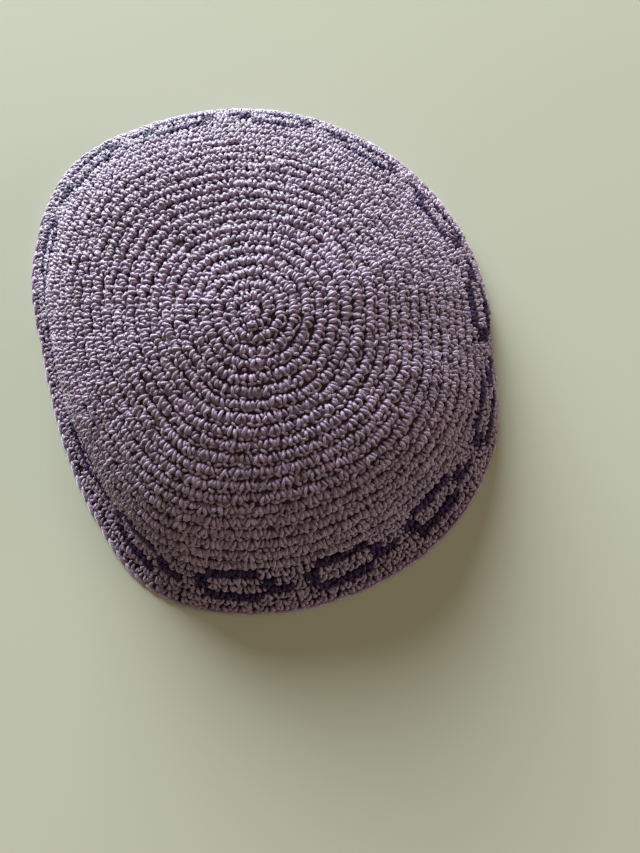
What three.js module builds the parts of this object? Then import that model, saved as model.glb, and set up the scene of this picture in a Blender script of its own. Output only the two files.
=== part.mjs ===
import * as THREE from 'three';

// A crocheted cotton skullcap, worked in one spiral from the middle of the crown outwards,
// lying on its rim as it does when it is taken off.
// Millimetres, +Z up, +Y to the back. The origin lies under the middle of the rim's box, on the
// surface that the cap lies on.

// Sizes of the whole cap
const capLength = 177;
const capWidth = 158;
const capHeight = 40;

// The worked fabric
const wallThickness = 2.2;
const rimHeight = 1.3;
const footToe = 0.6;
const footHeel = 2.0;
const pieceGap = 0.3;

// Rounds of stitches in each piece, from the middle outwards. The pattern and edge rounds are
// worked tighter, and their height is given as a share of a crown round's.
const crownRounds = 20;
const patternRounds = 4;
const edgeRounds = 2;
const borderRoundHeight = 0.85;
const allRounds = crownRounds + patternRounds + edgeRounds;

// The soft fold that runs across the crown from being kept folded in half
const foldHeight = 1.8;
const foldHalfWidth = 13;
const foldDirection = 20;
const foldFadeStart = 0.35;
const foldFadeEnd = 0.8;

// How fine the faceted surface is
const stepsAround = 64;
const stepsPerRound = 1;
const edgeStepsPerRound = 2;
const slopeSamples = 100;

// Slope of the fabric in degrees down from level, in eight directions anticlockwise from +X.
// The columns run outwards: the top, the side, the shoulder, the wall under it and the brim,
// which flares out again nearly all the way round.
const slopeRows = [
  { direction: 0, top: 5, side: 25, shoulder: 36, wall: 52, brim: 80 },
  { direction: 45, top: 8, side: 28, shoulder: 40, wall: 50, brim: 56 },
  { direction: 90, top: 8, side: 16, shoulder: 28, wall: 40, brim: 50 },
  { direction: 135, top: 9, side: 9, shoulder: 29, wall: 38, brim: 42 },
  { direction: 180, top: 9, side: 26, shoulder: 48, wall: 80, brim: 38 },
  { direction: 225, top: 6, side: 18, shoulder: 48, wall: 72, brim: 22 },
  { direction: 270, top: 4, side: 21, shoulder: 35, wall: 45, brim: 45 },
  { direction: 315, top: 4, side: 14, shoulder: 40, wall: 54, brim: 28 },
];

// Where each slope is reached, as a share of the way from the middle of the crown to the rim
const slopePlaces = { middle: 0, top: 0.2, side: 0.48, shoulder: 0.68, wall: 0.84, brim: 1 };

// Reach of the rim from the middle of the crown, as a share of half the length, in sixteen
// directions anticlockwise from +X: a rounded square with its fullest corner at the back left
const reachRows = [
  { direction: 0, reach: 0.87 },
  { direction: 22.5, reach: 0.9 },
  { direction: 45, reach: 0.94 },
  { direction: 67.5, reach: 0.99 },
  { direction: 90, reach: 1.04 },
  { direction: 112.5, reach: 1.08 },
  { direction: 135, reach: 1.11 },
  { direction: 157.5, reach: 0.98 },
  { direction: 180, reach: 0.84 },
  { direction: 202.5, reach: 0.81 },
  { direction: 225, reach: 0.86 },
  { direction: 247.5, reach: 0.96 },
  { direction: 270, reach: 0.96 },
  { direction: 292.5, reach: 0.95 },
  { direction: 315, reach: 0.95 },
  { direction: 337.5, reach: 0.93 },
];

const degree = Math.PI / 180;

// Smooth curve through four neighbouring values, between the second and the third
function smoothBetween(before, first, second, after, share) {
  const slopeIn = (second - before) / 2;
  const slopeOut = (after - first) / 2;
  const bend = 3 * (second - first) - 2 * slopeIn - slopeOut;
  const twist = slopeIn + slopeOut - 2 * (second - first);
  return first + share * (slopeIn + share * (bend + share * twist));
}

// Value of one column of a table whose rows go once round the cap, at any angle in degrees
function aroundTable(rows, column, angle) {
  const place = ((((angle / 360) % 1) + 1) % 1) * rows.length;
  const row = Math.floor(place);
  const valueAt = (offset) => rows[(row + offset + rows.length) % rows.length][column];
  return smoothBetween(valueAt(-1), valueAt(0), valueAt(1), valueAt(2), place - row);
}

// Slopes of the fabric in one direction, from the level middle of the crown to the brim
function slopesInDirection(angle) {
  const names = Object.keys(slopePlaces);
  const slopes = names.map((name) => (name === 'middle' ? 0 : aroundTable(slopeRows, name, angle)));
  const places = names.map((name) => slopePlaces[name]);
  return { places, slopes };
}

function slopeAt({ places, slopes }, share) {
  let stretch = 0;
  while (stretch < places.length - 2 && share > places[stretch + 1]) stretch += 1;
  const along = (share - places[stretch]) / (places[stretch + 1] - places[stretch]);
  const valueAt = (index) => {
    if (index < 0) return 2 * slopes[0] - slopes[1];
    if (index >= slopes.length) return 2 * slopes[slopes.length - 1] - slopes[slopes.length - 2];
    return slopes[index];
  };
  const slope = smoothBetween(
    valueAt(stretch - 1), valueAt(stretch), valueAt(stretch + 1), valueAt(stretch + 2), along,
  );
  return slope * degree;
}

// Following the slopes from the middle to the rim gives, at each step, the share of the way out
// and the share of the way down
function followSlopes(angle) {
  const table = slopesInDirection(angle);
  const out = [0];
  const down = [0];
  for (let step = 0; step < slopeSamples; step += 1) {
    const slope = slopeAt(table, (step + 0.5) / slopeSamples);
    out.push(out[step] + Math.cos(slope));
    down.push(down[step] + Math.sin(slope));
  }
  return {
    out: out.map((value) => value / out[slopeSamples]),
    down: down.map((value) => value / down[slopeSamples]),
  };
}

function sampleAt(values, share) {
  const place = THREE.MathUtils.clamp(share, 0, 1) * slopeSamples;
  const step = Math.min(Math.floor(place), slopeSamples - 1);
  return THREE.MathUtils.lerp(values[step], values[step + 1], place - step);
}

// The rim's outline in plan before it is brought to the cap's length and width
function plainRimPoint(angle) {
  const reach = aroundTable(reachRows, 'reach', angle);
  return new THREE.Vector2(Math.cos(angle * degree), Math.sin(angle * degree)).multiplyScalar(reach);
}

const stepAngles = Array.from({ length: stepsAround }, (_, step) => (step * 360) / stepsAround);
const plainRimBox = new THREE.Box2().setFromPoints(stepAngles.map(plainRimPoint));
const plainRimSize = plainRimBox.getSize(new THREE.Vector2());
const plainRimCentre = plainRimBox.getCenter(new THREE.Vector2());
const planScale = new THREE.Vector2(capWidth / plainRimSize.x, capLength / plainRimSize.y);

const slopesByAngle = new Map();

function slopesFor(angle) {
  if (!slopesByAngle.has(angle)) slopesByAngle.set(angle, followSlopes(angle));
  return slopesByAngle.get(angle);
}

function foldRise(x, y, share) {
  const turned = foldDirection * degree;
  const across = (y * Math.cos(turned) - x * Math.sin(turned)) / foldHalfWidth;
  const fade = 1 - THREE.MathUtils.smoothstep(share, foldFadeStart, foldFadeEnd);
  return foldHeight * Math.exp(-across * across) * fade;
}

// Point of the outer surface, at a share of the way from the middle of the crown to the rim
function outerPoint(share, angle) {
  const { out, down } = slopesFor(angle);
  const fromMiddle = plainRimPoint(angle).multiplyScalar(sampleAt(out, share)).multiply(planScale);
  const middle = plainRimCentre.clone().multiply(planScale).negate();
  const domeHeight = capHeight - rimHeight - foldHeight;
  const height = rimHeight + domeHeight * (1 - sampleAt(down, share));
  return new THREE.Vector3(
    middle.x + fromMiddle.x,
    middle.y + fromMiddle.y,
    height + foldRise(fromMiddle.x, fromMiddle.y, share),
  );
}

// Direction that faces out of the cap at a point of the outer surface
function outwardNormal(share, angle) {
  if (share === 0) return new THREE.Vector3(0, 0, 1);
  const shareStep = 1 / slopeSamples;
  const angleStep = 360 / stepsAround / 2;
  const inner = outerPoint(Math.max(share - shareStep, 0), angle);
  const alongOut = outerPoint(Math.min(share + shareStep, 1), angle).sub(inner);
  const alongRound = outerPoint(share, angle + angleStep).sub(outerPoint(share, angle - angleStep));
  return alongOut.cross(alongRound).normalize();
}

function innerPoint(share, angle) {
  return outerPoint(share, angle).addScaledVector(outwardNormal(share, angle), -wallThickness);
}

// Point of the flat foot that the rim lies on, set in from the outermost point of the rim
function footPoint(angle, setIn) {
  const outward = outwardNormal(1, angle).setZ(0).normalize();
  return outerPoint(1, angle).addScaledVector(outward, -setIn).setZ(0);
}

// Number of crown rounds that would reach as far along the fabric as the rounds up to this one
function crownRoundsTo(round) {
  return Math.min(round, crownRounds) + Math.max(round - crownRounds, 0) * borderRoundHeight;
}

// Share at a seam between two pieces, moved along the fabric by a length
function seamShare(round, angle, moved) {
  const share = crownRoundsTo(round) / crownRoundsTo(allRounds);
  const shareStep = 1 / slopeSamples;
  const stretch = outerPoint(share + shareStep, angle).distanceTo(outerPoint(share - shareStep, angle));
  return share + (moved * 2 * shareStep) / stretch;
}

function loopOf(pointAt) {
  return stepAngles.map(pointAt);
}

// Loops of points that follow each other become one closed body. A loop of one point is a pole.
// Without poles the last loop joins the first.
function bodyFromLoops(loops) {
  const positions = [];
  const firstIndex = loops.map((loop) => {
    const first = positions.length / 3;
    loop.forEach((point) => positions.push(point.x, point.y, point.z));
    return first;
  });
  const indices = [];
  const hasPoles = loops[0].length === 1;
  const joins = hasPoles ? loops.length - 1 : loops.length;
  for (let from = 0; from < joins; from += 1) {
    const to = (from + 1) % loops.length;
    for (let step = 0; step < stepsAround; step += 1) {
      const next = (step + 1) % stepsAround;
      const corner = (loop, place) => firstIndex[loop] + (loops[loop].length === 1 ? 0 : place);
      if (loops[from].length > 1) {
        indices.push(corner(from, step), corner(to, next), corner(from, next));
      }
      if (loops[to].length > 1) {
        indices.push(corner(from, step), corner(to, step), corner(to, next));
      }
    }
  }
  const geometry = new THREE.BufferGeometry();
  geometry.setAttribute('position', new THREE.Float32BufferAttribute(positions, 3));
  geometry.setIndex(indices);
  geometry.computeVertexNormals();
  return geometry;
}

// Shares for the loops of a piece between two seams, at one angle
function pieceShares(fromRound, toRound, stepsEachRound, angle) {
  const first = fromRound === 0 ? 0 : seamShare(fromRound, angle, pieceGap / 2);
  const last = toRound === allRounds ? 1 : seamShare(toRound, angle, -pieceGap / 2);
  const steps = (toRound - fromRound) * stepsEachRound;
  return Array.from({ length: steps + 1 }, (_, step) => THREE.MathUtils.lerp(first, last, step / steps));
}

function surfaceLoops(fromRound, toRound, stepsEachRound, pointAt) {
  const sharesByAngle = stepAngles.map((angle) => pieceShares(fromRound, toRound, stepsEachRound, angle));
  return sharesByAngle[0].map((share, row) => {
    if (share === 0) return [pointAt(0, 0)];
    return stepAngles.map((angle, step) => pointAt(sharesByAngle[step][row], angle));
  });
}

// The plain crown: a dome of fabric that is open underneath
function crownGeometry() {
  const outer = surfaceLoops(0, crownRounds, stepsPerRound, outerPoint);
  const inner = surfaceLoops(0, crownRounds, stepsPerRound, innerPoint);
  return bodyFromLoops([...outer, ...inner.reverse()]);
}

// The band of rounds that carry the pattern
function patternBandGeometry() {
  const fromRound = crownRounds;
  const toRound = crownRounds + patternRounds;
  const outer = surfaceLoops(fromRound, toRound, stepsPerRound, outerPoint);
  const inner = surfaceLoops(fromRound, toRound, stepsPerRound, innerPoint);
  return bodyFromLoops([...outer, ...inner.reverse()]);
}

// The last rounds, which end in a flat foot on the surface that the cap lies on. The foot takes
// the place of the last two inner loops.
function edgeRoundsGeometry() {
  const fromRound = crownRounds + patternRounds;
  const outer = surfaceLoops(fromRound, allRounds, edgeStepsPerRound, outerPoint);
  const inner = surfaceLoops(fromRound, allRounds, edgeStepsPerRound, innerPoint);
  const toe = loopOf((angle) => footPoint(angle, footToe));
  const heel = loopOf((angle) => footPoint(angle, footHeel));
  return bodyFromLoops([...outer, toe, heel, ...inner.slice(0, -2).reverse()]);
}

function crochetedPiece(name, geometry, colour) {
  const material = new THREE.MeshStandardMaterial({ color: colour, roughness: 0.75, metalness: 0 });
  const mesh = new THREE.Mesh(geometry, material);
  mesh.name = name;
  return mesh;
}

const skullcap = new THREE.Group();
skullcap.add(crochetedPiece('crown', crownGeometry(), 0x8d7b92));
skullcap.add(crochetedPiece('pattern_band', patternBandGeometry(), 0x5d4a66));
skullcap.add(crochetedPiece('edge_rounds', edgeRoundsGeometry(), 0x7a6881));

export default skullcap;
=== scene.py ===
import bmesh
import bpy
import math
import numpy as np
from collections import namedtuple
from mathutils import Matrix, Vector, noise


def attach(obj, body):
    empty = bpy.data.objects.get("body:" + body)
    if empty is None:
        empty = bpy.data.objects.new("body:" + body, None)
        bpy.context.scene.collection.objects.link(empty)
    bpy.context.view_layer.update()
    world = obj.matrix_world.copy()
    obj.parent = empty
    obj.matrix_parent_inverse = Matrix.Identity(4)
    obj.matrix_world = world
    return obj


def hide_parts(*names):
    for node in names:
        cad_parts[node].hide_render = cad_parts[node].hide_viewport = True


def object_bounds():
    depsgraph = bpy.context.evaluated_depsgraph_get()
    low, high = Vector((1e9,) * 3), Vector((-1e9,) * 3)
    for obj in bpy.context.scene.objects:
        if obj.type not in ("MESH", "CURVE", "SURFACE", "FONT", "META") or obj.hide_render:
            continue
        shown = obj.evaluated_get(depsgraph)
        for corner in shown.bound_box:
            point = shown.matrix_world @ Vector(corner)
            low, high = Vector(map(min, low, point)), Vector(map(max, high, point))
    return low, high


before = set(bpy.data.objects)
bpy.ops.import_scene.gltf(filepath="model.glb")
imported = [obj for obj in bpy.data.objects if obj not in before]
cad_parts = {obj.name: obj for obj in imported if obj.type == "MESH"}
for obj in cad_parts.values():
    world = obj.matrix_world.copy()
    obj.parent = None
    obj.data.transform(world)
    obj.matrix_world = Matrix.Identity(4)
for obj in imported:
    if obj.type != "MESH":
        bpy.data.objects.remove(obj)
cadLow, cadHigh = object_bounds()

# A crocheted cotton skullcap that lies on its rim. It is worked in one spiral from the middle of
# the crown outwards, so every strand is placed by its round, its turn round the cap and its depth
# in the fabric. Metres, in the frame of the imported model.


# Camera

cameraView = {
    "place": (0.0199, -0.0742, 0.2263),
    "tilt": 11.4,  # degrees away from straight down
    "lens": 29.5,
    "clipStart": 0.01,
}


def placeCamera(view):
    lens = bpy.data.cameras.new("camera")
    lens.lens = view["lens"]
    lens.clip_start = view["clipStart"]
    camera = bpy.data.objects.new("camera", lens)
    camera.location = view["place"]
    camera.rotation_euler = (math.radians(view["tilt"]), 0, 0)
    bpy.context.scene.collection.objects.link(camera)
    bpy.context.scene.camera = camera


placeCamera(cameraView)
print("camera placed")


# The form of the fabric, as in the CAD model

capForm = {
    "size": cadHigh - cadLow,
    "rimHeight": 0.0013,
    "foldHeight": 0.0018,  # soft fold across the crown
    "foldHalfWidth": 0.013,
    "foldDirection": 20,  # degrees
    "foldFade": (0.35, 0.8),  # share of the way to the rim
    "shareSteps": 100,
    "turnSteps": 288,
    "roundsToRim": 25.1,  # in crown rounds; a border round is 0.85 of one
    "puckerHeight": 0.00030,  # unevenness of hand work
    "puckerSize": 0.013,
    "puckerFade": (0.94, 1),  # the rim lies even
}

# Slope in degrees down from level, a row for each of eight directions anticlockwise from +X.
# The columns run outwards: top, side, shoulder, wall and brim.
slopeRows = np.array([
    (5, 25, 36, 52, 80),
    (8, 28, 40, 50, 56),
    (8, 16, 28, 40, 50),
    (9, 9, 29, 38, 42),
    (9, 26, 48, 80, 38),
    (6, 18, 48, 72, 22),
    (4, 21, 35, 45, 45),
    (4, 14, 40, 54, 28),
], float)
slopePlaces = np.array([0, 0.2, 0.48, 0.68, 0.84, 1])  # the middle, then each column

# Reach of the rim in sixteen directions anticlockwise from +X, as a share of half the length
rimReach = np.array([
    0.87, 0.90, 0.94, 0.99, 1.04, 1.08, 1.11, 0.98,
    0.84, 0.81, 0.86, 0.96, 0.96, 0.95, 0.95, 0.93,
])


def smoothBetween(before, first, second, after, share):
    slopeIn = (second - before) / 2
    slopeOut = (after - first) / 2
    bend = 3 * (second - first) - 2 * slopeIn - slopeOut
    twist = slopeIn + slopeOut - 2 * (second - first)
    return first + share * (slopeIn + share * (bend + share * twist))


def aroundTable(values, turns):
    place = (turns % 1) * len(values)
    row = np.floor(place).astype(int)
    near = [values[(row + offset) % len(values)] for offset in (-1, 0, 1, 2)]
    return smoothBetween(*near, place - row)


def followSlopes(form, turns):
    # shares of the way out and of the way down, for each step outwards and each direction
    columns = [np.zeros(len(turns))] + [aroundTable(column, turns) for column in slopeRows.T]
    before = 2 * columns[0] - columns[1]
    after = 2 * columns[-1] - columns[-2]
    columns = np.array([before] + columns + [after])
    steps = (np.arange(form["shareSteps"]) + 0.5) / form["shareSteps"]
    stretch = np.clip(np.searchsorted(slopePlaces, steps) - 1, 0, len(slopePlaces) - 2)
    along = (steps - slopePlaces[stretch]) / (slopePlaces[stretch + 1] - slopePlaces[stretch])
    near = [columns[stretch + offset] for offset in range(4)]
    slope = np.radians(smoothBetween(*near, along[:, None]))
    start = np.zeros((1, len(turns)))
    out = np.concatenate([start, np.cumsum(np.cos(slope), axis=0)])
    down = np.concatenate([start, np.cumsum(np.sin(slope), axis=0)])
    return out / out[-1], down / down[-1]


def smoothStep(value, low, high):
    share = np.clip((value - low) / (high - low), 0, 1)
    return share * share * (3 - 2 * share)


def formPoints(form):
    # outer surface of the fabric, by share of the way out and by direction
    turns = np.arange(form["turnSteps"]) / form["turnSteps"]
    facing = np.stack([np.cos(turns * math.tau), np.sin(turns * math.tau)], axis=-1)
    rim = facing * aroundTable(rimReach, turns)[:, None]
    rimSize = rim.max(0) - rim.min(0)
    planScale = np.array(form["size"][:2]) / rimSize
    middle = -(rim.max(0) + rim.min(0)) / 2 * planScale
    out, down = followSlopes(form, turns)
    plan = out[:, :, None] * rim * planScale
    shares = np.linspace(0, 1, form["shareSteps"] + 1)[:, None]
    turned = math.radians(form["foldDirection"])
    across = plan[:, :, 1] * math.cos(turned) - plan[:, :, 0] * math.sin(turned)
    fold = np.exp(-(across / form["foldHalfWidth"]) ** 2)
    fold *= 1 - smoothStep(shares, *form["foldFade"])
    dome = form["size"].z - form["rimHeight"] - form["foldHeight"]
    height = form["rimHeight"] + dome * (1 - down) + form["foldHeight"] * fold
    return np.concatenate([plan + middle, height[:, :, None]], axis=2)


def evenlyRound(points):
    # the same rings with their points spread evenly, so that stitches are as wide all round
    spread = np.empty_like(points)
    evenly = np.arange(points.shape[1]) / points.shape[1]
    for row in range(len(points)):
        ring = points[max(row, 1)]
        closed = np.concatenate([ring, ring[:1]])
        lengths = np.linalg.norm(np.diff(closed, axis=0), axis=1)
        walked = np.concatenate([[0], np.cumsum(lengths)]) / lengths.sum()
        for axis in range(3):
            spread[row, :, axis] = np.interp(evenly, walked, closed[:, axis])
    spread[0] = points[0]
    return spread


def normalsOf(points):
    outward = np.gradient(points, axis=0)
    sideways = np.roll(points, -1, axis=1) - np.roll(points, 1, axis=1)
    normals = np.cross(outward, sideways)
    normals[0] = (0, 0, 1)
    return normals / np.linalg.norm(normals, axis=2, keepdims=True)


def puckered(form, points, normals):
    heights = np.array([
        [noise.noise(Vector(point) / form["puckerSize"]) for point in row]
        for row in points.tolist()
    ])
    calm = 1 - smoothStep(np.linspace(0, 1, len(points)), *form["puckerFade"])[:, None]
    return points + normals * (heights * calm * form["puckerHeight"])[:, :, None]


surfacePoints = evenlyRound(formPoints(capForm))
surfacePoints = puckered(capForm, surfacePoints, normalsOf(surfacePoints))
surfaceNormals = normalsOf(surfacePoints)


def readSurface(grid, rounds, turns):
    place = np.maximum(rounds / capForm["roundsToRim"], 0) * capForm["shareSteps"]
    step = np.minimum(np.floor(place).astype(int), capForm["shareSteps"] - 1)
    along = (place - step)[..., None]
    spot = (turns % 1) * capForm["turnSteps"]
    left = np.floor(spot).astype(int)
    beside = (spot - left)[..., None]
    left = left % capForm["turnSteps"]
    right = (left + 1) % capForm["turnSteps"]
    inner = grid[step, left] * (1 - beside) + grid[step, right] * beside
    outer = grid[step + 1, left] * (1 - beside) + grid[step + 1, right] * beside
    return inner * (1 - along) + outer * along


def fabricPoint(rounds, turns, depth):
    normal = readSurface(surfaceNormals, rounds, turns)
    return readSurface(surfacePoints, rounds, turns) - normal * np.asarray(depth)[..., None]


print("fabric form worked out")


# The spiral of stitches

spiral = {
    "rounds": 26,
    "increases": 6,  # new stitches in each round
    "mostStitches": 112,  # fourteen repeats of eight
    "firstMiddle": 0.65,  # middle of the first row, in rounds from the start
    "crownRounds": 20,
    "patternRounds": 4,
    "startTurn": -0.0022,  # where each round starts, in turns from +X
    "ahead": {21: 0.2, 22: 0.3, 23: 0.4, 24: 0.1},  # rounds that run ahead, in stitches
}

# The last rows, by round: the row's middle in crown rounds, and how far it climbs in one turn
lastRows = {
    21: (20.55, 0.90),
    22: (21.38, 0.85),
    23: (22.22, 0.80),
    24: (23.12, 0.65),
    25: (23.96, 0.40),
    26: (24.72, 0.20),
}

Stitch = namedtuple("Stitch", "round place turn width middle height")


def rowMiddle(roundNumber, share):
    middle, climb = lastRows.get(roundNumber, (roundNumber - 1 + spiral["firstMiddle"], 1.0))
    return middle + (share - 0.5) * climb


def spiralStitches():
    stitches = []
    for roundNumber in range(1, spiral["rounds"] + 1):
        count = min(roundNumber * spiral["increases"], spiral["mostStitches"])
        for place in range(count):
            share = (place + 0.5) / count
            middle = rowMiddle(roundNumber, share)
            inner = rowMiddle(roundNumber - 1, share) if roundNumber > 1 else middle - 1
            outer = rowMiddle(roundNumber + 1, share)
            if roundNumber == spiral["rounds"]:
                outer = 2 * capForm["roundsToRim"] - middle
            turn = share + spiral["startTurn"] + spiral["ahead"].get(roundNumber, 0) / count
            height = (outer - inner) / 2
            stitches.append(Stitch(roundNumber, place, turn, 1 / count, middle, height))
    return stitches


allStitches = spiralStitches()
print("stitches in the spiral:", len(allStitches))


# Chart of the wave border, read outwards: one line for each round, one mark for each of the eight
# stitches of a repeat. A hash is a violet stitch.
waveChart = {
    21: ".####...",
    22: "#....#..",
    23: "#....##.",
    24: ".####...",
}


def isViolet(stitch):
    marks = waveChart.get(stitch.round, ".")
    return marks[stitch.place % len(marks)] == "#"


# Strands of yarn, laid on the fabric's form and joined into one mesh

Strand = namedtuple(
    "Strand", "fromRound fromTurn fromDepth toRound toTurn toDepth rise wide high tone"
)

# Fullness is the power of the strand's width near its ends: 1 is an ellipsoid, 0 a cylinder
strandShapes = {
    "leg": {"sides": 6, "rings": 5, "fullness": 0.45},
    "loop": {"sides": 6, "rings": 4, "fullness": 0.5},
}
poleRadius = 1e-6  # a corner nearer the axis than this is a pole
lowestYarn = 0.00002  # yarn lies flat on the floor


def strandTemplate(shape):
    bm = bmesh.new()
    bmesh.ops.create_uvsphere(bm, u_segments=shape["sides"], v_segments=shape["rings"], radius=1)
    bm.verts.index_update()
    corners = np.array([vert.co[:] for vert in bm.verts])
    around = np.linalg.norm(corners[:, :2], axis=1)
    fuller = np.maximum(around, poleRadius) ** (shape["fullness"] - 1)
    corners[:, :2] *= np.where(around > poleRadius, fuller, 0)[:, None]
    faces = [[vert.index for vert in face.verts] for face in bm.faces]
    uvs = []
    for face in bm.faces:
        angles = [math.atan2(vert.co.y, vert.co.x) / math.tau % 1 for vert in face.verts]
        poles = [math.hypot(vert.co.x, vert.co.y) < poleRadius for vert in face.verts]
        ringAngles = [angle for angle, pole in zip(angles, poles) if not pole]
        crosses = max(ringAngles) - min(ringAngles) > 0.5
        moved = [angle + 1 if crosses and angle < 0.5 else angle for angle in angles]
        middle = np.mean([angle for angle, pole in zip(moved, poles) if not pole])
        for vert, angle, pole in zip(face.verts, moved, poles):
            uvs.append((middle if pole else angle, (vert.co.z + 1) / 2))
    bm.free()
    return corners, faces, uvs


def strandCorners(strands, corners):
    fields = np.array(strands, float)[:, :, None]
    fromRound, fromTurn, fromDepth, toRound, toTurn, toDepth, rise, wide, high, _ = (
        fields[:, column] for column in range(10)
    )
    along = (corners[:, 2] + 1)[None, :] / 2
    rounds = fromRound + (toRound - fromRound) * along
    turns = fromTurn + (toTurn - fromTurn) * along
    depth = fromDepth + (toDepth - fromDepth) * along - rise * (1 - corners[None, :, 2] ** 2)
    normal = readSurface(surfaceNormals, rounds, turns)
    line = readSurface(surfacePoints, rounds, turns) - normal * depth[..., None]
    ahead = fabricPoint(toRound, toTurn, toDepth)
    ahead -= fabricPoint(fromRound, fromTurn, fromDepth)
    sideways = np.cross(normal, ahead)
    sideways /= np.linalg.norm(sideways, axis=-1, keepdims=True)
    placed = line + sideways * (corners[:, 0] * wide)[..., None]
    placed += normal * (corners[:, 1] * high)[..., None]
    placed[..., 2] = np.maximum(placed[..., 2], lowestYarn)
    return placed


def layStrands(name, strands, shape, material):
    corners, faces, uvs = strandTemplate(strandShapes[shape])
    placed = strandCorners(strands, corners).reshape(-1, 3)
    firsts = np.arange(len(strands)) * len(corners)
    allFaces = []
    for first in firsts.tolist():
        allFaces.extend([[first + corner for corner in face] for face in faces])
    mesh = bpy.data.meshes.new(name)
    mesh.from_pydata(placed.tolist(), [], allFaces)
    mesh.polygons.foreach_set("use_smooth", [True] * len(allFaces))
    yarnMap = mesh.uv_layers.new(name="alongYarn")
    yarnMap.data.foreach_set("uv", np.tile(np.array(uvs).ravel(), len(strands)))
    toneOfStrands = [strand.tone for strand in strands]
    tones = mesh.attributes.new("tone", "FLOAT", "POINT")
    tones.data.foreach_set("value", np.repeat(toneOfStrands, len(corners)))
    mesh.materials.append(material)
    piece = bpy.data.objects.new(name, mesh)
    bpy.context.scene.collection.objects.link(piece)
    print(name, "strands:", len(strands), "faces:", len(allFaces))
    return piece


# Yarn and fabric finishes

def screenColour(red, green, blue):
    # a screen's 0 to 255 values as the linear colour that a shader takes
    return tuple(
        (value / 255 / 12.92) if value <= 10 else ((value / 255 + 0.055) / 1.055) ** 2.4
        for value in (red, green, blue)
    ) + (1,)


def newMaterial(name):
    material = bpy.data.materials.new(name)
    material.use_nodes = True
    nodes = material.node_tree.nodes
    return material, nodes, material.node_tree.links, nodes["Principled BSDF"]


def mixColours(nodes, links, share, first, second, blend="MIX"):
    mix = nodes.new("ShaderNodeMix")
    mix.data_type = "RGBA"
    mix.blend_type = blend
    for socket, value in (("Factor_Float", share), ("A_Color", first), ("B_Color", second)):
        inputSocket = next(each for each in mix.inputs if each.identifier == socket)
        if isinstance(value, bpy.types.NodeSocket):
            links.new(value, inputSocket)
        else:
            inputSocket.default_value = value
    return next(each for each in mix.outputs if each.identifier == "Result_Color")


def addBump(nodes, links, shader, height, look):
    bump = nodes.new("ShaderNodeBump")
    bump.inputs["Strength"].default_value = look["bump"]
    bump.inputs["Distance"].default_value = look["bumpDistance"]
    links.new(height, bump.inputs["Height"])
    links.new(bump.outputs["Normal"], shader.inputs["Normal"])


def yarnColour(nodes, links, look):
    # each strand has its own tone, darker for deeper strands as painted shade, mottled a little
    tone = nodes.new("ShaderNodeAttribute")
    tone.attribute_name = "tone"
    base = mixColours(nodes, links, tone.outputs["Fac"], look["dark"], look["light"])
    coordinates = nodes.new("ShaderNodeTexCoord")
    mottle = nodes.new("ShaderNodeTexNoise")
    mottle.inputs["Scale"].default_value = look["mottleScale"]
    mottle.inputs["Detail"].default_value = look["mottleDetail"]
    links.new(coordinates.outputs["Object"], mottle.inputs["Vector"])
    white = (1, 1, 1, 1)
    mottled = mixColours(nodes, links, mottle.outputs["Fac"], look["mottleDark"], white)
    return mixColours(nodes, links, 1.0, base, mottled, "MULTIPLY")


def pliesOfYarn(nodes, links, look):
    # the twisted plies, as waves that run slanting along each strand
    along = nodes.new("ShaderNodeUVMap")
    along.uv_map = "alongYarn"
    twist = nodes.new("ShaderNodeVectorMath")
    twist.operation = "DOT_PRODUCT"
    twist.inputs[1].default_value = (look["plies"] * math.tau, look["twists"] * math.tau, 0)
    links.new(along.outputs["UV"], twist.inputs[0])
    plies = nodes.new("ShaderNodeMath")
    plies.operation = "SINE"
    links.new(twist.outputs["Value"], plies.inputs[0])
    return plies.outputs["Value"]


def yarnMaterial(look):
    material, nodes, links, shader = newMaterial(look["name"])
    tinted = yarnColour(nodes, links, look)
    plies = pliesOfYarn(nodes, links, look)
    groove = nodes.new("ShaderNodeMapRange")
    groove.inputs["From Min"].default_value = -1
    groove.inputs["To Min"].default_value = look["grooveShade"]
    links.new(plies, groove.inputs["Value"])
    shaded = mixColours(nodes, links, 1.0, tinted, groove.outputs["Result"], "MULTIPLY")
    links.new(shaded, shader.inputs["Base Color"])
    addBump(nodes, links, shader, plies, look)
    shader.inputs["Roughness"].default_value = look["roughness"]
    shader.inputs["Specular IOR Level"].default_value = look["gloss"]
    shader.inputs["IOR"].default_value = look["refraction"]
    shader.inputs["Sheen Weight"].default_value = look["sheen"]
    shader.inputs["Sheen Roughness"].default_value = look["sheenRoughness"]
    return material


lilacYarn = {
    "name": "lilacYarn",
    "light": screenColour(170, 132, 180),
    "dark": screenColour(126, 89, 133),
    "mottleDark": screenColour(222, 214, 224),
    "mottleScale": 900,
    "mottleDetail": 3,
    "plies": 2,
    "twists": 5,
    "grooveShade": 0.84,
    "bump": 0.2,
    "bumpDistance": 0.00012,
    "roughness": 0.57,
    "gloss": 0.9,
    "refraction": 1.65,  # mercerised cotton is glossier than plain
    "sheen": 0.8,
    "sheenRoughness": 0.4,
}

violetYarn = {
    **lilacYarn,
    "name": "violetYarn",
    "light": screenColour(66, 26, 98),
    "dark": screenColour(32, 10, 52),
    "gloss": 0.3,
    "refraction": 1.5,
    "sheen": 0,
}

lilacMaterial = yarnMaterial(lilacYarn)
violetMaterial = yarnMaterial(violetYarn)


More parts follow.
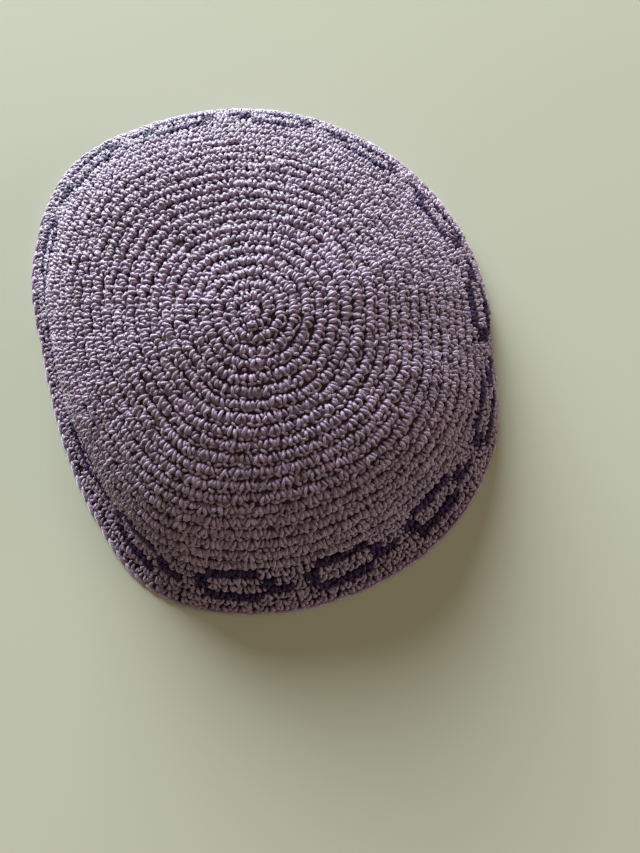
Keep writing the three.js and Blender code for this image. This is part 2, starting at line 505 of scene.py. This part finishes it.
def fabricMaterial(look):
    material, nodes, links, shader = newMaterial(look["name"])
    coordinates = nodes.new("ShaderNodeTexCoord")
    fibres = nodes.new("ShaderNodeTexNoise")
    fibres.inputs["Scale"].default_value = look["fibreScale"]
    fibres.inputs["Detail"].default_value = look["fibreDetail"]
    links.new(coordinates.outputs["Object"], fibres.inputs["Vector"])
    base = mixColours(nodes, links, fibres.outputs["Fac"], look["dark"], look["light"])
    links.new(base, shader.inputs["Base Color"])
    addBump(nodes, links, shader, fibres.outputs["Fac"], look)
    shader.inputs["Roughness"].default_value = look["roughness"]
    return material


# Dark brownish violet as painted shade: the yarn inside the fabric is lilac and looks dark only in
# the shade between the strands
paintedShadeCoreYarn = {
    "name": "paintedShadeCoreYarn",
    "light": screenColour(88, 60, 78),
    "dark": screenColour(48, 30, 44),
    "fibreScale": 1400,
    "fibreDetail": 5,
    "bump": 0.6,
    "bumpDistance": 0.0003,
    "roughness": 0.9,
}
paintedShadeCoreMaterial = fabricMaterial(paintedShadeCoreYarn)
print("yarns mixed")


# The imported fabric between the right and the wrong side of the stitches, coloured dark brownish
# violet as painted shade in the gaps between the strands

fabricCore = {
    "depth": 0.00172,  # under the outer surface
    "thickness": 0.00020,
    "stepsRound": 112,
    "stepsPerRound": 2,
    "insideRim": 0.12,  # rounds between its edge and the rim
    "lowest": 0.0001,  # above the floor
    "seamGap": 0.00001,  # corners nearer than this are joined
    "pieces": (
        {"name": "crownCore", "node": "crown", "slot": "lilac_yarn", "rounds": (0, 20)},
        {"name": "bandCore", "node": "pattern_band", "slot": "violet_yarn", "rounds": (20, 23.4)},
        {"name": "edgeCore", "node": "edge_rounds", "slot": "edge_yarns", "rounds": (23.4, 25.1)},
    ),
}


def fabricCorePiece(core, part):
    rounds = part["rounds"]
    bm = bmesh.new()
    steps = int(round(rounds[1] - rounds[0])) * core["stepsPerRound"]
    bmesh.ops.create_grid(bm, x_segments=core["stepsRound"], y_segments=steps, size=0.5)
    plan = np.array([vert.co[:] for vert in bm.verts])
    outward = rounds[0] + (plan[:, 1] + 0.5) * (rounds[1] - rounds[0])
    outward = np.minimum(outward, capForm["roundsToRim"] - core["insideRim"])
    places = fabricPoint(outward, plan[:, 0] + 0.5, np.full(len(plan), core["depth"]))
    for vert, place in zip(bm.verts, places.tolist()):
        vert.co = place
    bmesh.ops.remove_doubles(bm, verts=bm.verts, dist=core["seamGap"])
    bmesh.ops.recalc_face_normals(bm, faces=bm.faces)
    if sum(face.normal.z for face in bm.faces) < 0:
        bmesh.ops.reverse_faces(bm, faces=bm.faces)
    bmesh.ops.solidify(bm, geom=bm.faces, thickness=core["thickness"])
    for vert in bm.verts:
        vert.co.z = max(vert.co.z, core["lowest"])
        vert.normal_update()
    for face in bm.faces:
        face.smooth = True
    mesh = bpy.data.meshes.new(part["name"])
    bm.to_mesh(mesh)
    bm.free()
    mesh.materials.append(paintedShadeCoreMaterial)
    piece = bpy.data.objects.new(part["name"], mesh)
    bpy.context.scene.collection.objects.link(piece)
    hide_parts(part["node"])
    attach(piece, "root")


for part in fabricCore["pieces"]:
    fabricCorePiece(fabricCore, part)
print("fabric cores made")


# Stitches. A single crochet shows a V of two strands and a slanted one beside it, with short loops
# that join it to its neighbours. Each strand runs from one place to another, across in stitches
# and out in rows, both from the stitch's middle, and rises out of the fabric between them.

noNearer = 0.1  # to the crown's middle, in rounds
toneRange = (0.1, 1)

# Each part's tone scale makes deeper strands darker, and the backing darkest, as painted shade
stitchLook = {
    "seed": 7,
    "legs": (
        {"from": (-0.08, -0.41), "to": (-0.34, 0.28), "depth": 0.00116,
         "wide": 0.00054, "high": 0.00056, "rise": 0.00084, "depthShadeTone": 1},
        {"from": (0.10, -0.41), "to": (0.32, 0.28), "depth": 0.00116,
         "wide": 0.00054, "high": 0.00056, "rise": 0.00082, "depthShadeTone": 1},
        {"from": (0.36, -0.44), "to": (0.60, 0.12), "depth": 0.00128,
         "wide": 0.00050, "high": 0.00052, "rise": 0.00078, "depthShadeTone": 0.85},
    ),
    "loops": (
        {"from": (-0.22, -0.48), "to": (-0.50, -0.03), "depth": 0.00130,
         "wide": 0.00050, "high": 0.00052, "rise": 0.00062, "depthShadeTone": 0.85},
        {"from": (-0.52, 0.20), "to": (-0.08, 0.46), "depth": 0.00122,
         "wide": 0.00050, "high": 0.00052, "rise": 0.00056, "depthShadeTone": 0.85},
        {"from": (-0.02, 0.43), "to": (0.44, 0.25), "depth": 0.00130,
         "wide": 0.00048, "high": 0.00050, "rise": 0.00052, "depthShadeTone": 0.8},
    ),
    "backing": (
        {"from": (-0.60, -0.06), "to": (0.60, 0.02), "depth": 0.00140,
         "wide": 0.00118, "high": 0.00045, "rise": 0.00010, "depthShadeTone": 0.0},
    ),
    "shakeAcross": 0.08,
    "shakeOut": 0.05,
    "shakeDepth": 0.00018,
    "shakeEnds": 0.065,
    "shakeThickness": 0.12,
    "snugStart": 0.84,  # the first rounds are worked tighter, with thinner strands
    "snugRounds": 6,
    "violetReach": 1.14,  # the carried colour is worked looser and covers a little more
    "violetFuller": 1.26,
}


def stitchStrands(stitch, parts, look, chance):
    shiftAcross, shiftOut = chance.normal(0, (look["shakeAcross"], look["shakeOut"]))
    deeper = chance.normal(0, look["shakeDepth"])
    # a random tone, scaled down below for deeper strands as painted shade
    tone = chance.uniform(*toneRange)
    grown = stitch.round / look["snugRounds"]
    snug = min(1, look["snugStart"] + (1 - look["snugStart"]) * grown)
    reach, fuller = 1, 1
    if isViolet(stitch):
        reach, fuller = look["violetReach"], look["violetFuller"]
    strands = []
    for part in parts:
        shake = chance.normal(0, look["shakeEnds"], 4)
        thicker = snug * fuller * (1 + chance.normal(0, look["shakeThickness"]))
        acrossFrom, outFrom = part["from"]
        acrossTo, outTo = part["to"]
        start = stitch.middle + (outFrom * reach + shiftOut + shake[0]) * stitch.height
        strands.append(Strand(
            max(start, noNearer),
            stitch.turn + (acrossFrom + shiftAcross + shake[1]) * stitch.width,
            part["depth"] + deeper,
            stitch.middle + (outTo * reach + shiftOut + shake[2]) * stitch.height,
            stitch.turn + (acrossTo + shiftAcross + shake[3]) * stitch.width,
            part["depth"] + deeper,
            part["rise"],
            part["wide"] * thicker,
            part["high"] * thicker,
            tone * part["depthShadeTone"],
        ))
    return strands


def pieceOf(stitch):
    if stitch.round <= spiral["crownRounds"]:
        return "crown"
    if stitch.round > spiral["crownRounds"] + spiral["patternRounds"]:
        return "edge"
    return "bandViolet" if isViolet(stitch) else "bandLilac"


def stitchPieces():
    # strands of each piece, sorted by the piece's name and the kind of strand
    chance = np.random.default_rng(stitchLook["seed"])
    found = {}
    for stitch in allStitches:
        for kind in ("legs", "loops", "backing"):
            strands = stitchStrands(stitch, stitchLook[kind], stitchLook, chance)
            name = pieceOf(stitch)
            if kind == "backing":
                # a violet strand is carried behind the lilac stitches of the border
                name = "crown" if name == "crown" else "carriedStrand"
            found.setdefault((name, kind), []).extend(strands)
    return found


# The wrong side, on the cap's inside: a bar across each stitch and the backs of its two legs.
# A negative rise goes inwards.

# The backs of the legs lie deeper than the bar and get a darker tone as painted shade
wrongSideLook = {
    "seed": 19,
    "bars": (
        {"from": (-0.52, 0.34), "to": (0.52, 0.42), "depth": 0.00195,
         "wide": 0.00056, "high": 0.00036, "rise": -0.00022, "depthShadeTone": 1},
        {"from": (-0.08, -0.46), "to": (-0.30, 0.30), "depth": 0.00195,
         "wide": 0.00060, "high": 0.00036, "rise": -0.00016, "depthShadeTone": 0.7},
        {"from": (0.10, -0.46), "to": (0.36, 0.28), "depth": 0.00195,
         "wide": 0.00060, "high": 0.00036, "rise": -0.00016, "depthShadeTone": 0.7},
    ),
    "shakeAcross": 0.04,
    "shakeOut": 0.04,
    "shakeDepth": 0.00005,
    "shakeEnds": 0.035,
    "shakeThickness": 0.08,
    "snugStart": 0.8,
    "snugRounds": 6,
    "violetReach": 1,
    "violetFuller": 1,
}


def wrongSideStrands():
    chance = np.random.default_rng(wrongSideLook["seed"])
    found = {"crown": [], "bandLilac": [], "bandViolet": [], "edge": []}
    for stitch in allStitches:
        strands = stitchStrands(stitch, wrongSideLook["bars"], wrongSideLook, chance)
        found[pieceOf(stitch)].extend(strands)
    return found


# The edge: the last loops lie along the rim like a fine chain

# The deeper loop of the chain gets a darker tone as painted shade
edgeChain = {
    "seed": 23,
    "loops": (
        {"from": (-0.62, 0.46), "to": (0.56, 0.68), "depth": 0.00070,
         "wide": 0.00062, "high": 0.00056, "rise": 0.00020, "depthShadeTone": 1},
        {"from": (-0.58, 0.62), "to": (0.60, 0.46), "depth": 0.00130,
         "wide": 0.00060, "high": 0.00050, "rise": 0.00005, "depthShadeTone": 0.8},
    ),
    "shakeAcross": 0.03,
    "shakeOut": 0.04,
    "shakeDepth": 0.00006,
    "shakeEnds": 0.035,
    "shakeThickness": 0.06,
    "snugStart": 1,
    "snugRounds": 1,
    "violetReach": 1,
    "violetFuller": 1,
}


def edgeChainStrands():
    chance = np.random.default_rng(edgeChain["seed"])
    strands = []
    for stitch in allStitches:
        if stitch.round == spiral["rounds"]:
            strands.extend(stitchStrands(stitch, edgeChain["loops"], edgeChain, chance))
    return strands


# The middle of the crown, where the first loop is pulled tight into a knot

centreKnot = {
    "spokes": 7,
    "spokeRounds": (0.06, 0.50),
    "spokeLean": 0.05,  # turns
    "spokeDepth": 0.00100,
    "spokeRise": 0.00075,
    "spokeWide": 0.00062,
    "spokeTone": 0.9,
    "balls": (
        {"round": 0.02, "turn": 0.25, "depth": 0.00020, "wide": 0.00085},
        {"round": 0.82, "turn": 0.72, "depth": 0.00020, "wide": 0.00105},
    ),
    "ballLength": 0.24,  # rounds
    "ballRise": 0.0002,
    "ballFlatness": 0.8,  # height as a share of the width
    "ballTone": 1.0,
}


def centreKnotStrands(look):
    first, last = look["spokeRounds"]
    strands = []
    for spoke in range(look["spokes"]):
        turn = spoke / look["spokes"]
        strands.append(Strand(
            first, turn, look["spokeDepth"],
            last, turn + look["spokeLean"], look["spokeDepth"],
            look["spokeRise"], look["spokeWide"], look["spokeWide"], look["spokeTone"],
        ))
    for ball in look["balls"]:
        strands.append(Strand(
            ball["round"], ball["turn"], ball["depth"],
            ball["round"] + look["ballLength"], ball["turn"], ball["depth"],
            look["ballRise"], ball["wide"], ball["wide"] * look["ballFlatness"], look["ballTone"],
        ))
    return strands


knotPiece = layStrands("centreKnot", centreKnotStrands(centreKnot), "leg", lilacMaterial)
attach(knotPiece, "root")

slots = {
    "crown": "lilac_yarn",
    "bandLilac": "lilac_yarn",
    "bandViolet": "violet_yarn",
    "carriedStrand": "violet_yarn",
    "edge": "edge_yarns",
}
for (name, kind), strands in stitchPieces().items():
    material = violetMaterial if slots[name] == "violet_yarn" else lilacMaterial
    shape = "leg" if kind == "legs" else "loop"
    piece = layStrands(name + kind.title(), strands, shape, material)
    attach(piece, "root")
print("stitches laid")

for name, strands in wrongSideStrands().items():
    material = violetMaterial if name == "bandViolet" else lilacMaterial
    piece = layStrands(name + "WrongSide", strands, "loop", material)
    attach(piece, "root")
print("wrong side laid")

chainPiece = layStrands("edgeChain", edgeChainStrands(), "leg", lilacMaterial)
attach(chainPiece, "root")
print("edge chain laid")


# Floor, light and surroundings

stageLook = {
    "floorSize": 2.5,
    "floor": (0.49, 0.462, 0.40, 1),
    "floorRoughness": 0.85,
    "cloudScale": 6,
    "cloudShade": 0.96,  # the floor's darker patches, as a share of its colour
    "air": (1.0, 0.90, 0.55, 1),  # warm light back from the room
    "airStrength": 0.28,
    "lampsAim": (0, 0, 0.01),
}


def placeFloor(look):
    bm = bmesh.new()
    bmesh.ops.create_grid(bm, x_segments=2, y_segments=2, size=look["floorSize"] / 2)
    mesh = bpy.data.meshes.new("floor")
    bm.to_mesh(mesh)
    bm.free()
    material, nodes, links, shader = newMaterial("paleFloor")
    coordinates = nodes.new("ShaderNodeTexCoord")
    cloud = nodes.new("ShaderNodeTexNoise")
    cloud.inputs["Scale"].default_value = look["cloudScale"]
    links.new(coordinates.outputs["Object"], cloud.inputs["Vector"])
    shade = tuple(value * look["cloudShade"] for value in look["floor"][:3]) + (1,)
    base = mixColours(nodes, links, cloud.outputs["Fac"], shade, look["floor"])
    links.new(base, shader.inputs["Base Color"])
    shader.inputs["Roughness"].default_value = look["floorRoughness"]
    mesh.materials.append(material)
    floor = bpy.data.objects.new("floor", mesh)
    bpy.context.scene.collection.objects.link(floor)


lamps = (
    {"name": "window", "place": (-1.47, 3.63, 0.78), "size": 3.2,
     "power": 760, "colour": (0.84, 1.0, 0.97)},
    {"name": "room", "place": (2.6, -0.4, 0.55), "size": 1.8,
     "power": 24, "colour": (1.0, 0.94, 0.82)},
)


def placeLamp(lamp, aim):
    light = bpy.data.lights.new(lamp["name"], "AREA")
    light.shape = "DISK"
    light.size = lamp["size"]
    light.energy = lamp["power"]
    light.color = lamp["colour"]
    holder = bpy.data.objects.new(lamp["name"], light)
    holder.location = lamp["place"]
    towards = Vector(aim) - Vector(lamp["place"])
    holder.rotation_euler = towards.to_track_quat("-Z", "Y").to_euler()
    bpy.context.scene.collection.objects.link(holder)


def lightAir(look):
    world = bpy.data.worlds.new("air")
    world.use_nodes = True
    sky = world.node_tree.nodes["Background"]
    sky.inputs["Color"].default_value = look["air"]
    sky.inputs["Strength"].default_value = look["airStrength"]
    bpy.context.scene.world = world
    bpy.context.scene.view_settings.view_transform = "Standard"


placeFloor(stageLook)
for lamp in lamps:
    placeLamp(lamp, stageLook["lampsAim"])
lightAir(stageLook)
print("floor and light placed")
